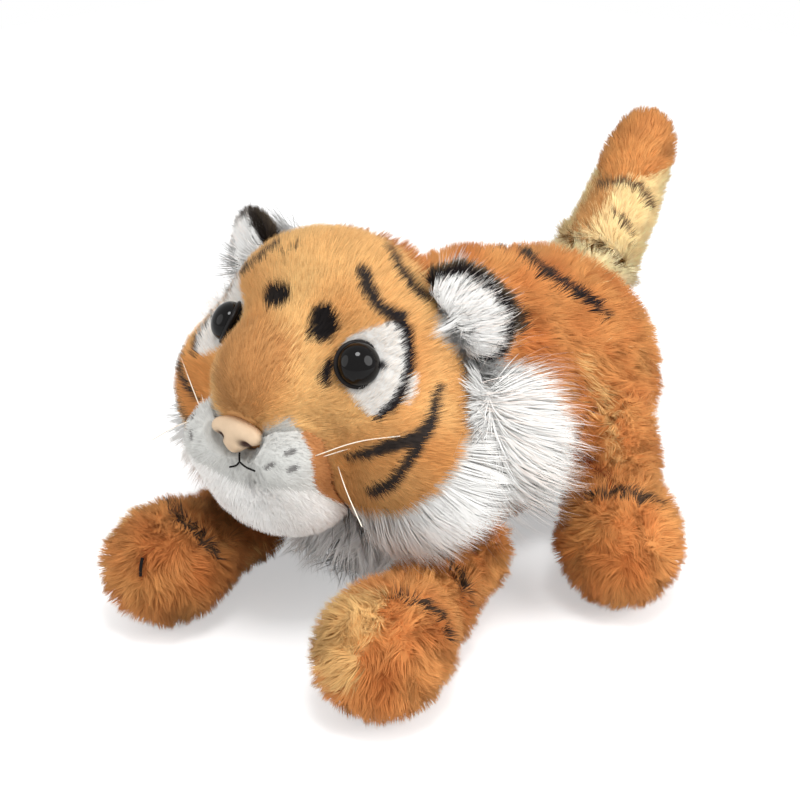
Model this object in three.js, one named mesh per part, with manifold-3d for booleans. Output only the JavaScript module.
import * as THREE from 'three';
import { mergeVertices } from 'three/addons/utils/BufferGeometryUtils.js';
import Module from 'manifold-3d';

// A plush tiger that lies on its belly with its paws forward, built as it is sewn: open skins of
// pile cloth, each with its own stuffing, plastic eyes and nose on stems held by washers inside,
// pellet bags in the paws. Millimetres, +Z up, face towards -Y, its left side towards +X,
// origin on the floor under the middle of the torso.

const wasm = await Module();
wasm.setup();

// Cloth, gaps and the depth that a resting form is cut flat
const skinThickness = 3;
const seatGap = 0.3;
const ballGap = 0.5;
const swingGap = 0.9;
const neckSwingGap = 1;
const floorSink = 0.5;
const seamBlend = 9;
const cutOverrun = 40;

// Torso
const torsoWidth = 102;
const torsoLength = 170;
const torsoHeight = 108;
const torsoLobeShares = [
  { at: [0, 0, 0.52], half: [0.465, 0.34, 0.52] },
  { at: [0, 0.275, 0.475], half: [0.53, 0.25, 0.46] },
  { at: [0, -0.24, 0.4], half: [0.42, 0.185, 0.35] },
  { at: [0, -0.335, 0.31], half: [0.25, 0.14, 0.26] },
];
const torsoCentreShares = [0, 0, 0.48];

// Neck and head
const neckPlaceShares = [0, -0.315, 0.63];
const neckBallRadius = 18;
const headWidth = 124;
const headDepth = 81;
const headHeight = 98;
const headForward = 21;
const headLift = 17;
const headLobeShares = [
  { at: [0, 0.05, 0.05], half: [0.405, 0.37, 0.45] },
  { at: [0, 0.01, 0.235], half: [0.26, 0.27, 0.25] },
  { at: [0.275, -0.09, -0.125], half: [0.225, 0.32, 0.3] },
  { at: [-0.275, -0.09, -0.125], half: [0.225, 0.32, 0.3] },
  { at: [0, -0.335, 0.05], half: [0.18, 0.28, 0.24] },
];
const muzzleLobeShares = [
  { at: [0.115, -0.455, -0.15], half: [0.12, 0.195, 0.15] },
  { at: [-0.115, -0.455, -0.15], half: [0.12, 0.195, 0.15] },
  { at: [0, -0.35, -0.31], half: [0.24, 0.24, 0.18] },
];
const muzzleCentreShares = [0, -0.27, -0.2];
const neckEdgeLean = 20;
const neckEdgeForward = 2;
const headTurn = 20;
const nodUp = 12;
const nodDown = 5;

// Eyes, their white patches and the nose; directions are angles seen from the head's middle
const eyeAcross = 55;
const eyeUp = 25;
const eyeRadius = 7.4;
const eyeDepth = 5.6;
const eyeSeatDepth = 0.5;
const stemRadius = 2;
const stemLength = 7.5;
const washerRadius = 7;
const washerThickness = 1.5;
const stemClearance = 0.3;
const patchThickness = 1;
const patchWidth = 22;
const patchHeight = 33;
const patchShift = 5;
const noseWidth = 22;
const noseHeight = 12.5;
const noseThickness = 3.2;
const noseRound = 2;
const noseCurveShares = { crown: 0.6, shoulder: 0.9, widest: 0.35, flank: -0.3, chin: 0.4 };
const noseUp = -8;
const nostrilRadius = 1.9;
const nostrilSpacing = 10.5;
const nostrilHeight = 1.5;

// Ears
const earWidth = 37;
const earHeight = 36;
const earThickness = 10;
const earAcross = 103;
const earUp = 28;
const earTurn = 24;
const earTilt = 14;
const earRise = 4;
const earFold = 15;

// Long haired panels behind the cheeks
const ruffWidth = 36;
const ruffDepth = 27;
const ruffHeight = 48;
const ruffPlaceShares = [0.44, 0.2, -0.13];

// Whiskers, three on each side
const whiskerLength = 44;
const whiskerThickness = 0.8;
const whiskerDroop = 4;
const whiskerAngles = [
  { across: 56, up: 21, out: 82, rise: 26 },
  { across: 60, up: 16, out: 79, rise: 24 },
  { across: 60, up: 8, out: 60, rise: 1 },
];

// Legs: a chain of lobes from the seam to the paw, in shares of the reach and of the paw
const frontPawWidth = 48;
const frontPawLength = 54;
const frontPawHeight = 46;
const hindPawWidth = 48;
const hindPawLength = 56;
const hindPawHeight = 49;
const frontReach = 66;
const hindReach = 54;
const frontPlaceShares = [0.405, -0.32, 0.25];
const hindPlaceShares = [0.455, 0.165, 0.34];
const frontLobeShares = [
  { along: 0, up: 0.49, half: [0.38, 0.38, 0.4] },
  { along: 0.48, up: 0.43, half: [0.38, 0.47, 0.38] },
  { along: 1, up: 0.5, half: [0.5, 0.5, 0.5] },
];
const hindLobeShares = [
  { along: 0, up: 0.68, half: [0.44, 0.52, 0.6] },
  { along: 0.45, up: 0.55, half: [0.4, 0.46, 0.46] },
  { along: 1, up: 0.5, half: [0.5, 0.5, 0.5] },
];
const frontSplayLeft = 16;
const frontSplayRight = -8;
const frontRightReachShare = 1.06;
const hindSplay = 38;
const legLift = 4;
const legLower = 25;
const hindSwing = 20;
const frontMouthRadius = 11;
const hindMouthRadius = 15;
const pelletBagRadius = 11;
const pelletBagHeight = 20;
const pelletBagMouth = 5;
const pelletBagRise = 3;

// Tail
const tailPlaceShares = [0, 0.475, 0.73];
const tailLength = 62;
const tailThickness = 37;
const tailLean = 38;
const tailBend = 2.5;
const tailLobeShares = [
  { up: 0.04, back: 0, radius: 0.52 },
  { up: 0.34, back: 1, radius: 0.47 },
  { up: 0.6, back: 1, radius: 0.43 },
  { up: 0.82, back: 0.5, radius: 0.4 },
  { up: 1, back: 0, radius: 0.365 },
];
const tailBallRadius = 12;
const tailSway = 15;
const tailRaise = 10;

// How finely a ray looks for a form's surface: steps inwards, then halvings of the last step
const raySteps = 60;
const rayHalvings = 24;

// Facet counts
const skinDetail = 4;
const faceDetail = 6;
const limbDetail = 4;
const liningDetail = 2;
const swingDetail = 4;
const ballDetail = 3;
const trimDetail = 2;
const tailDetail = 3;
const roundSides = 14;
const rimSides = 20;
const eyeRings = 4;
const earRings = 3;
const noseCurveSides = 4;
const noseEdgeRings = 2;
const whiskerSides = 4;
const whiskerSteps = 6;

const materials = {
  orange: { color: 0xc87a3c, roughness: 0.95, metalness: 0 },
  golden: { color: 0xd0904c, roughness: 0.95, metalness: 0 },
  rust: { color: 0xbe7b3f, roughness: 0.95, metalness: 0 },
  white: { color: 0xf2ede4, roughness: 0.95, metalness: 0 },
  black: { color: 0x1b1715, roughness: 0.95, metalness: 0 },
  eye: { color: 0x0b0909, roughness: 0.12, metalness: 0 },
  nose: { color: 0xdfc29a, roughness: 0.35, metalness: 0 },
  stuffing: { color: 0xf6f5f1, roughness: 1, metalness: 0 },
  pellets: { color: 0xd8d2c4, roughness: 0.9, metalness: 0 },
  washer: { color: 0xe6e6e2, roughness: 0.45, metalness: 0 },
  whisker: { color: 0xefe8da, roughness: 0.4, metalness: 0 },
};

const group = new THREE.Group();
const floorUp = new THREE.Vector3(0, 0, 1);
const sideways = new THREE.Vector3(1, 0, 0);
const radians = THREE.MathUtils.degToRad;

// Solids

function solidOf(geometry, matrix) {
  const bare = geometry.index ? geometry.clone() : mergeVertices(geometry.clone());
  bare.deleteAttribute('normal');
  bare.deleteAttribute('uv');
  if (matrix) bare.applyMatrix4(matrix);
  const merged = mergeVertices(bare);
  return new wasm.Manifold(new wasm.Mesh({
    numProp: 3,
    vertProperties: Float32Array.from(merged.attributes.position.array),
    triVerts: Uint32Array.from(merged.index.array),
  }));
}

function geometryOf(solid) {
  const mesh = solid.getMesh();
  const geometry = new THREE.BufferGeometry();
  geometry.setAttribute('position', new THREE.BufferAttribute(mesh.vertProperties, mesh.numProp));
  geometry.setIndex(new THREE.BufferAttribute(mesh.triVerts, 1));
  geometry.computeVertexNormals();
  return geometry;
}

function addNode(name, solid, look) {
  const mesh = new THREE.Mesh(geometryOf(solid), new THREE.MeshStandardMaterial(materials[look]));
  mesh.name = name;
  group.add(mesh);
}

function joined(solids) {
  return solids.reduce((whole, solid) => whole.add(solid));
}

function ballAt(place, radius, detail = ballDetail) {
  return solidOf(new THREE.IcosahedronGeometry(radius, detail), shiftTo(place));
}

function shiftTo(place) {
  return new THREE.Matrix4().makeTranslation(place.x, place.y, place.z);
}

function turnAbout(place, axis, degrees) {
  const turn = new THREE.Matrix4().makeRotationAxis(axis, radians(degrees));
  return shiftTo(place).multiply(turn).multiply(shiftTo(place.clone().negate()));
}

// A matrix that stands a shape built along +Z on a point, along a direction
function alongDirection(place, direction) {
  const turn = new THREE.Quaternion().setFromUnitVectors(floorUp, direction);
  return new THREE.Matrix4().compose(place, turn, new THREE.Vector3(1, 1, 1));
}

// Everything under a level, to cut a resting form flat
function below(level) {
  const width = torsoLength + frontReach + hindReach;
  const box = new THREE.BoxGeometry(2 * width, 2 * width, torsoHeight);
  return solidOf(box, shiftTo(new THREE.Vector3(0, 0, level - torsoHeight / 2)));
}

// Stuffed forms: lobes that run into one another, seen as a field below zero inside

function lobe(at, half) {
  return { at: new THREE.Vector3(...at), half: new THREE.Vector3(...half) };
}

function lobesFrom(lobeShares, size, origin) {
  return lobeShares.map(({ at, half }) => lobe(
    at.map((share, i) => share * size[i] + origin.getComponent(i)),
    half.map((share, i) => share * size[i]),
  ));
}

function lobeField(point, { at, half }) {
  const local = point.clone().sub(at).divide(half);
  const reach = local.length();
  const slope = local.divide(half).length();
  return slope > 0 ? (reach * (reach - 1)) / slope : -Math.min(half.x, half.y, half.z);
}

function fieldAt(lobes, point) {
  return lobes.reduce((nearest, each) => {
    const next = lobeField(point, each);
    if (nearest === Infinity) return next;
    const mix = Math.max(seamBlend - Math.abs(nearest - next), 0) / seamBlend;
    return Math.min(nearest, next) - (mix * mix * seamBlend) / 4;
  }, Infinity);
}

// How far from the centre a ray leaves the form grown by an offset
function reachAlong(form, direction, offset) {
  const inside = (distance) => {
    const point = form.centre.clone().addScaledVector(direction, distance);
    return fieldAt(form.lobes, point) < offset;
  };
  let far = raySteps;
  while (far > 1 && !inside((far / raySteps) * form.reach)) far -= 1;
  let low = (far / raySteps) * form.reach;
  let high = ((far + 1) / raySteps) * form.reach;
  for (let i = 0; i < rayHalvings; i += 1) {
    const middle = (low + high) / 2;
    if (inside(middle)) low = middle;
    else high = middle;
  }
  return low;
}

function makeForm(lobes, centre, stretch = new THREE.Vector3(1, 1, 1)) {
  const reaches = lobes.map(({ at, half }) => at.distanceTo(centre) + Math.max(half.x, half.y, half.z));
  return { lobes, centre, stretch, reach: Math.max(...reaches) + seamBlend + skinThickness };
}

// The form's surface, grown or shrunk by an offset, with a ray through each corner of a unit ball
function formGeometry(form, offset, detail) {
  const ball = new THREE.IcosahedronGeometry(1, detail);
  ball.deleteAttribute('normal');
  ball.deleteAttribute('uv');
  const geometry = mergeVertices(ball);
  const { position } = geometry.attributes;
  const direction = new THREE.Vector3();
  for (let i = 0; i < position.count; i += 1) {
    direction.fromBufferAttribute(position, i).multiply(form.stretch).normalize();
    const distance = reachAlong(form, direction, offset);
    direction.multiplyScalar(distance).add(form.centre);
    position.setXYZ(i, direction.x, direction.y, direction.z);
  }
  return geometry;
}

// Moves a form up or down until it stands on the floor, sunk by the depth that is cut flat
function standOnFloor(form, detail) {
  const geometry = formGeometry(form, 0, detail);
  geometry.computeBoundingBox();
  const drop = geometry.boundingBox.min.z + floorSink;
  form.lobes.forEach(({ at }) => { at.z -= drop; });
  form.centre.z -= drop;
  return form;
}

function onForm(form, across, up, side = 1) {
  const direction = new THREE.Vector3(
    side * Math.sin(radians(across)) * Math.cos(radians(up)),
    -Math.cos(radians(across)) * Math.cos(radians(up)),
    Math.sin(radians(up)),
  );
  const place = form.centre.clone().addScaledVector(direction, reachAlong(form, direction, 0));
  const normal = new THREE.Vector3();
  for (let i = 0; i < 3; i += 1) {
    const step = new THREE.Vector3().setComponent(i, seatGap);
    const rise = fieldAt(form.lobes, place.clone().add(step));
    normal.setComponent(i, rise - fieldAt(form.lobes, place.clone().sub(step)));
  }
  return { place, normal: normal.normalize() };
}

// Rods and rings along a direction, and the arc of a dome's profile from its rim to the axis

function rod(place, direction, radius, from, to) {
  const cylinder = new THREE.CylinderGeometry(radius, radius, to - from, roundSides);
  cylinder.rotateX(Math.PI / 2);
  const middle = place.clone().addScaledVector(direction, (from + to) / 2);
  return solidOf(cylinder, alongDirection(middle, direction));
}

function ring(place, direction, outer, inner, from, to) {
  const profile = [
    new THREE.Vector2(inner, from),
    new THREE.Vector2(outer, from),
    new THREE.Vector2(outer, to),
    new THREE.Vector2(inner, to),
    new THREE.Vector2(inner, from),
  ];
  const lathe = new THREE.LatheGeometry(profile, roundSides);
  lathe.rotateX(Math.PI / 2);
  return solidOf(lathe, alongDirection(place, direction));
}

function quarterArc(radius, height, start, rings) {
  const points = [];
  for (let i = 0; i < rings; i += 1) {
    const angle = (i / rings) * (Math.PI / 2);
    points.push(new THREE.Vector2(radius * Math.cos(angle), start + height * Math.sin(angle)));
  }
  points.push(new THREE.Vector2(0, start + height));
  return points;
}

// Torso

const torsoSize = [torsoWidth, torsoLength, torsoHeight];

function placeInTorso(shares) {
  return new THREE.Vector3(...shares.map((share, i) => share * torsoSize[i]));
}

const torso = standOnFloor(
  makeForm(
    lobesFrom(torsoLobeShares, torsoSize, new THREE.Vector3()),
    placeInTorso(torsoCentreShares),
    new THREE.Vector3(torsoWidth, torsoLength, torsoHeight).divideScalar(torsoLength),
  ),
  skinDetail,
);
const neck = placeInTorso(neckPlaceShares);
const tailRoot = placeInTorso(tailPlaceShares);

// The torso as a moving neighbour meets it: copies turned through the neighbour's whole swing
function sweptTorso(turns, offset) {
  const geometry = formGeometry(torso, offset, swingDetail);
  return joined(turns.map((turn) => solidOf(geometry, turn)));
}

function makeTorso() {
  const recesses = ballAt(neck, neckBallRadius + ballGap).add(ballAt(tailRoot, tailBallRadius + ballGap));
  const outside = solidOf(formGeometry(torso, 0, skinDetail)).subtract(below(0));
  const cavity = solidOf(formGeometry(torso, -skinThickness, liningDetail)).subtract(below(skinThickness));
  const fillGap = skinThickness + seatGap;
  const filling = solidOf(formGeometry(torso, -fillGap, liningDetail)).subtract(below(fillGap));
  addNode('torso_skin', outside.subtract(cavity).subtract(recesses), 'orange');
  addNode('torso_stuffing', filling.subtract(recesses), 'stuffing');
  addNode('neck_stuffing', ballAt(neck, neckBallRadius), 'stuffing');
  addNode('tail_root_stuffing', ballAt(tailRoot, tailBallRadius, liningDetail), 'stuffing');
}

// Head

const headSize = [headWidth, headDepth, headHeight];
const headMiddle = neck.clone().add(new THREE.Vector3(0, -headForward, headLift));
const head = makeForm(lobesFrom(headLobeShares, headSize, headMiddle), headMiddle);

function placeInHead(shares) {
  return headMiddle.clone().add(new THREE.Vector3(...shares.map((share, i) => share * headSize[i])));
}

const muzzle = makeForm(lobesFrom(muzzleLobeShares, headSize, headMiddle), placeInHead(muzzleCentreShares));

const headTurns = [-headTurn, 0, headTurn].flatMap((turn) => (
  [-nodUp, nodDown].map((nod) => (
    turnAbout(neck, sideways, -nod).multiply(turnAbout(neck, floorUp, -turn))
  ))
));

// What the head leaves free: the torso through the head's whole motion
function torsoClearance(depth) {
  return sweptTorso(headTurns, neckSwingGap + depth);
}

// What the head's skin and stuffing leave free: that, and all behind the flat sewn neck edge
function headClearance(depth) {
  const size = 2 * headHeight;
  const box = new THREE.BoxGeometry(size, size, size).translate(0, size / 2 - neckEdgeForward - depth, 0);
  const lean = new THREE.Matrix4().makeRotationX(radians(-neckEdgeLean)).setPosition(neck);
  return torsoClearance(depth).add(solidOf(box, lean));
}

function eyeSeat(side) {
  return onForm(head, eyeAcross, eyeUp, side);
}

const noseSeat = onForm(head, 0, noseUp);

// The nose's outline: wide and round above, drawn to a round point below
function noseOutline(grown) {
  const half = noseWidth / 2 + grown;
  const top = noseHeight / 2 + grown;
  const outline = new THREE.Shape();
  const { crown, shoulder, widest, flank, chin } = noseCurveShares;
  outline.moveTo(0, top);
  outline.bezierCurveTo(half * crown, top, half, top * shoulder, half, top * widest);
  outline.bezierCurveTo(half, top * flank, half * chin, -top, 0, -top);
  outline.bezierCurveTo(-half * chin, -top, -half, top * flank, -half, top * widest);
  outline.bezierCurveTo(-half, top * shoulder, -half * crown, top, 0, top);
  return outline;
}

// The nose stands on its seat with the outline upright, its thickness along the seat's normal
function noseMatrix(depth) {
  const { place, normal } = noseSeat;
  const across = sideways.clone();
  const upright = new THREE.Vector3().crossVectors(normal, across);
  const matrix = new THREE.Matrix4().makeBasis(across, upright, normal);
  return matrix.setPosition(place.clone().addScaledVector(normal, depth));
}

function noseBlock(grown, from, to) {
  const block = new THREE.ExtrudeGeometry(noseOutline(grown), {
    depth: to - from, bevelEnabled: false, curveSegments: noseCurveSides,
  });
  return solidOf(block, noseMatrix(from));
}

function makeNose() {
  const { place, normal } = noseSeat;
  const sink = skinThickness / 2;
  const pad = new THREE.ExtrudeGeometry(noseOutline(-noseRound), {
    depth: noseThickness,
    bevelEnabled: true,
    bevelSize: noseRound,
    bevelThickness: noseRound,
    bevelSegments: noseEdgeRings,
    curveSegments: noseCurveSides,
  });
  let nose = solidOf(pad, noseMatrix(-sink));
  nose = nose.subtract(noseBlock(noseRound, -sink - cutOverrun, -sink));
  nose = nose.add(rod(place, normal, stemRadius, -sink - stemLength, 0));
  [-1, 1].forEach((side) => {
    const nostril = place.clone()
      .addScaledVector(sideways, (side * nostrilSpacing) / 2)
      .addScaledVector(normal, noseThickness + noseRound - sink)
      .addScaledVector(floorUp, nostrilHeight - noseRound);
    nose = nose.subtract(ballAt(nostril, nostrilRadius, 1));
  });
  addNode('nose', nose, 'nose');
  return noseBlock(3 * seatGap, -sink - seatGap, cutOverrun);
}

// What a stem and its washer need cut in skin and stuffing: a bore, and a flat pocket inside
function stemPocket({ place, normal }, depth) {
  const bore = rod(place, normal, stemRadius + stemClearance, -depth, cutOverrun);
  const back = -(skinThickness + seatGap);
  return bore.add(rod(place, normal, washerRadius + seatGap, -depth, back));
}

function makeWasher(name, { place, normal }) {
  const back = -(skinThickness + 2 * seatGap);
  const washer = ring(place, normal, washerRadius, stemRadius + stemClearance, back - washerThickness, back);
  addNode(name, washer, 'washer');
}

function makeEye(name, { place, normal }) {
  const back = -eyeSeatDepth;
  const profile = [
    new THREE.Vector2(0, back),
    new THREE.Vector2(eyeRadius, back),
    ...quarterArc(eyeRadius, eyeDepth, 0, eyeRings),
  ];
  const dome = new THREE.LatheGeometry(profile, roundSides);
  dome.rotateX(Math.PI / 2);
  const stem = rod(place, normal, stemRadius, -stemLength, 0);
  addNode(name, solidOf(dome, alongDirection(place, normal)).add(stem), 'eye');
  return rod(place, normal, eyeRadius + seatGap, back - seatGap, cutOverrun);
}

// A patch of white pile round the outer side of an eye, a sheet that follows the face
function makePatch(name, { place, normal }, side, eyeCut) {
  const across = new THREE.Vector3().crossVectors(floorUp, normal).normalize().multiplyScalar(side);
  const middle = place.clone().addScaledVector(across, patchShift);
  const oval = new THREE.CylinderGeometry(patchWidth / 2, patchWidth / 2, cutOverrun, roundSides);
  oval.rotateX(Math.PI / 2);
  oval.scale(1, patchHeight / patchWidth, 1);
  const sheet = solidOf(formGeometry(head, seatGap + patchThickness, faceDetail))
    .subtract(solidOf(formGeometry(head, seatGap, faceDetail)));
  const upright = new THREE.Vector3().crossVectors(normal, across).multiplyScalar(side);
  const turn = new THREE.Matrix4().makeBasis(across.clone().multiplyScalar(side), upright, normal);
  turn.setPosition(middle);
  addNode(name, sheet.intersect(solidOf(oval, turn)).subtract(eyeCut), 'white');
}

function makeHead() {
  const fillGap = skinThickness + seatGap;
  const recess = ballAt(neck, neckBallRadius + ballGap);
  let skin = solidOf(formGeometry(head, 0, faceDetail)).subtract(headClearance(0));
  const cavity = solidOf(formGeometry(head, -skinThickness, liningDetail))
    .subtract(headClearance(skinThickness));
  let filling = solidOf(formGeometry(head, -fillGap, liningDetail))
    .subtract(headClearance(fillGap))
    .subtract(recess);
  skin = skin.subtract(cavity).subtract(recess);
  const noseCut = makeNose();
  const noseDepth = stemLength + skinThickness;
  [1, -1].forEach((side) => {
    const word = side > 0 ? 'left' : 'right';
    const seat = eyeSeat(side);
    const eyeCut = makeEye(`eye_${word}`, seat);
    const pocket = stemPocket(seat, stemLength + seatGap);
    makeWasher(`eye_washer_${word}`, seat);
    makePatch(`eye_patch_${word}`, seat, side, eyeCut);
    skin = skin.subtract(eyeCut).subtract(pocket);
    filling = filling.subtract(pocket);
  });
  const nosePocket = stemPocket(noseSeat, noseDepth);
  makeWasher('nose_washer', noseSeat);
  skin = skin.subtract(noseCut).subtract(nosePocket);
  filling = filling.subtract(nosePocket);
  addNode('head_skin', skin, 'golden');
  addNode('head_stuffing', filling, 'stuffing');
  makeMuzzle(noseCut);
}

// White pads and chin, sewn on under the nose
function makeMuzzle(noseCut) {
  const pads = solidOf(formGeometry(muzzle, 0, limbDetail))
    .subtract(solidOf(formGeometry(head, seatGap, faceDetail)))
    .subtract(headClearance(0))
    .subtract(noseCut);
  addNode('muzzle_pads', largestPiece(pads), 'white');
}

function largestPiece(solid) {
  return solid.decompose().reduce((best, piece) => (piece.volume() > best.volume() ? piece : best));
}

function makeRuff(side, word) {
  const shares = [side * ruffPlaceShares[0], ruffPlaceShares[1], ruffPlaceShares[2]];
  const place = placeInHead(shares);
  const pad = makeForm([lobe(place.toArray(), [ruffWidth / 2, ruffDepth / 2, ruffHeight / 2])], place);
  const solid = solidOf(formGeometry(pad, 0, trimDetail))
    .subtract(solidOf(formGeometry(head, seatGap, faceDetail)))
    .subtract(torsoClearance(0));
  addNode(`cheek_ruff_${word}`, largestPiece(solid), 'white');
}

// Ears: a white front and a dark back, sewn together along the rim

// One layer: an oval with a flat inner face and a full outer one, in front of or behind the seam
function earLayer(facing, matrix) {
  const profile = [
    new THREE.Vector2(0, seatGap / 2),
    new THREE.Vector2(earWidth / 2, seatGap / 2),
    ...quarterArc(earWidth / 2, earThickness / 2 - seatGap, seatGap, earRings),
  ];
  const dome = new THREE.LatheGeometry(profile, rimSides);
  dome.scale(1, 1, earHeight / earWidth);
  if (facing < 0) dome.rotateZ(Math.PI);
  dome.translate(0, 0, earRise);
  return solidOf(dome, matrix);
}

function makeEar(side, word) {
  const { place } = onForm(head, earAcross, earUp, side);
  const turn = new THREE.Euler(0, radians(side * earTilt), radians(side * earTurn), 'ZYX');
  const matrix = new THREE.Matrix4().makeRotationFromEuler(turn);
  const hinge = new THREE.Vector3(1, 0, 0).applyMatrix4(matrix);
  matrix.setPosition(place);
  const face = formGeometry(head, swingGap, swingDetail);
  const clear = joined([-1, 0, 1].map((share) => (
    solidOf(face, turnAbout(place, hinge, share * earFold))
  )));
  addNode(`ear_front_${word}`, largestPiece(earLayer(-1, matrix).subtract(clear)), 'white');
  addNode(`ear_back_${word}`, largestPiece(earLayer(1, matrix).subtract(clear)), 'black');
}

// Whiskers: stiff threads sewn into the pads, which leave them with a small gap and droop a little
function makeWhisker(side, word, number, { across, up, out, rise }) {
  const { place, normal } = onForm(muzzle, across, up, side);
  const start = place.clone().addScaledVector(normal, -skinThickness);
  const heading = new THREE.Vector3(
    side * Math.sin(radians(out)) * Math.cos(radians(rise)),
    -Math.cos(radians(out)) * Math.cos(radians(rise)),
    Math.sin(radians(rise)),
  );
  const end = start.clone().addScaledVector(heading, whiskerLength);
  const middle = start.clone().lerp(end, 0.5);
  middle.z += whiskerDroop;
  const corners = Array.from({ length: whiskerSides }, (_, i) => {
    const angle = (i / whiskerSides) * 2 * Math.PI;
    return new THREE.Vector2(Math.cos(angle), Math.sin(angle)).multiplyScalar(whiskerThickness / 2);
  });
  const thread = new THREE.ExtrudeGeometry(new THREE.Shape(corners), {
    steps: whiskerSteps,
    bevelEnabled: false,
    extrudePath: new THREE.QuadraticBezierCurve3(start, middle, end),
  });
  const shown = solidOf(thread)
    .subtract(solidOf(formGeometry(muzzle, seatGap, limbDetail)))
    .subtract(solidOf(formGeometry(head, seatGap, faceDetail)));
  addNode(`whisker_${word}_${number}`, largestPiece(shown), 'whisker');
}

// Legs

function makeLeg({ name, side, splay, reach, paw, lobeShares, placeShares, turns, mouthRadius }) {
  const place = placeInTorso(placeShares);
  place.x *= side;
  const lobes = lobeShares.map(({ along, up, half }) => lobe(
    [0, -along * reach, up * paw.height],
    [half[0] * paw.width, half[1] * paw.length, half[2] * paw.height],
  ));
  const centre = new THREE.Vector3(0, -reach / 2, paw.height / 2);
  const stretch = new THREE.Vector3(paw.width, reach + paw.length, paw.height).divideScalar(reach);
  const form = standOnFloor(makeForm(lobes, centre, stretch), limbDetail);
  const matrix = new THREE.Matrix4().makeRotationZ(radians(side * splay));
  matrix.setPosition(place.x, place.y, 0);
  const swings = turns.map((degrees) => turnAbout(place, sideways, -degrees));
  const layer = (depth, detail) => solidOf(formGeometry(form, -depth, detail), matrix)
    .subtract(sweptTorso(swings, swingGap + depth))
    .subtract(below(depth));
  const mouth = ballAt(place, mouthRadius);
  const skin = layer(0, limbDetail).subtract(layer(skinThickness, liningDetail)).subtract(mouth);
  const bagHeight = skinThickness + pelletBagRise + pelletBagHeight / 2;
  const bagPlace = new THREE.Vector3(0, -reach, bagHeight).applyMatrix4(matrix);
  const bag = (grown) => {
    const ball = new THREE.IcosahedronGeometry(1, 1);
    ball.scale(pelletBagRadius + grown, pelletBagRadius + grown, pelletBagHeight / 2 + grown);
    return solidOf(ball, shiftTo(bagPlace));
  };
  const filling = layer(skinThickness + seatGap, liningDetail)
    .subtract(bag(seatGap))
    .subtract(rod(bagPlace, floorUp, pelletBagMouth, -bagHeight, 0));
  addNode(`${name}_skin`, largestPiece(skin), 'rust');
  addNode(`${name}_stuffing`, largestPiece(filling), 'stuffing');
  addNode(`${name}_pellet_bag`, bag(0), 'pellets');
}

const frontTurns = [-legLift, (legLower - legLift) / 2, legLower];
const hindTurns = [-hindSwing, 0, hindSwing];
const frontPaw = { width: frontPawWidth, length: frontPawLength, height: frontPawHeight };
const hindPaw = { width: hindPawWidth, length: hindPawLength, height: hindPawHeight };
const frontLeg = {
  paw: frontPaw, lobeShares: frontLobeShares, placeShares: frontPlaceShares,
  turns: frontTurns, mouthRadius: frontMouthRadius,
};
const hindLeg = {
  paw: hindPaw, lobeShares: hindLobeShares, placeShares: hindPlaceShares,
  turns: hindTurns, mouthRadius: hindMouthRadius, splay: hindSplay, reach: hindReach,
};

// Tail: a chain of lobes built upright and leaned back

function makeTail() {
  const lobes = tailLobeShares.map(({ up, back, radius }) => lobe(
    [0, back * tailBend, up * tailLength],
    Array(3).fill(radius * tailThickness),
  ));
  const centre = new THREE.Vector3(0, 0, tailLength / 2);
  const stretch = new THREE.Vector3(tailThickness, tailThickness, tailLength + tailThickness);
  const form = makeForm(lobes, centre, stretch.divideScalar(tailLength));
  const matrix = new THREE.Matrix4().makeRotationX(radians(-tailLean)).setPosition(tailRoot);
  const turns = [-tailSway, 0, tailSway].flatMap((sway) => (
    [-tailRaise, 0, tailRaise].map((raise) => (
      turnAbout(tailRoot, sideways, -raise).multiply(turnAbout(tailRoot, floorUp, -sway))
    ))
  ));
  const layer = (depth, detail) => solidOf(formGeometry(form, -depth, detail), matrix)
    .subtract(sweptTorso(turns, swingGap + depth));
  const recess = ballAt(tailRoot, tailBallRadius + ballGap);
  const skin = layer(0, tailDetail).subtract(layer(skinThickness, liningDetail)).subtract(recess);
  const filling = layer(skinThickness + seatGap, liningDetail).subtract(recess);
  addNode('tail_skin', largestPiece(skin), 'orange');
  addNode('tail_stuffing', largestPiece(filling), 'stuffing');
}

makeTorso();
makeHead();
[[1, 'left'], [-1, 'right']].forEach(([side, word]) => {
  makeRuff(side, word);
  makeEar(side, word);
  whiskerAngles.forEach((angles, i) => makeWhisker(side, word, i + 1, angles));
});
makeLeg({ ...frontLeg, name: 'front_leg_left', side: 1, splay: frontSplayLeft, reach: frontReach });
makeLeg({
  ...frontLeg,
  name: 'front_leg_right',
  side: -1,
  splay: frontSplayRight,
  reach: frontReach * frontRightReachShare,
});
makeLeg({ ...hindLeg, name: 'hind_leg_left', side: 1 });
makeLeg({ ...hindLeg, name: 'hind_leg_right', side: -1 });
makeTail();

export default group;
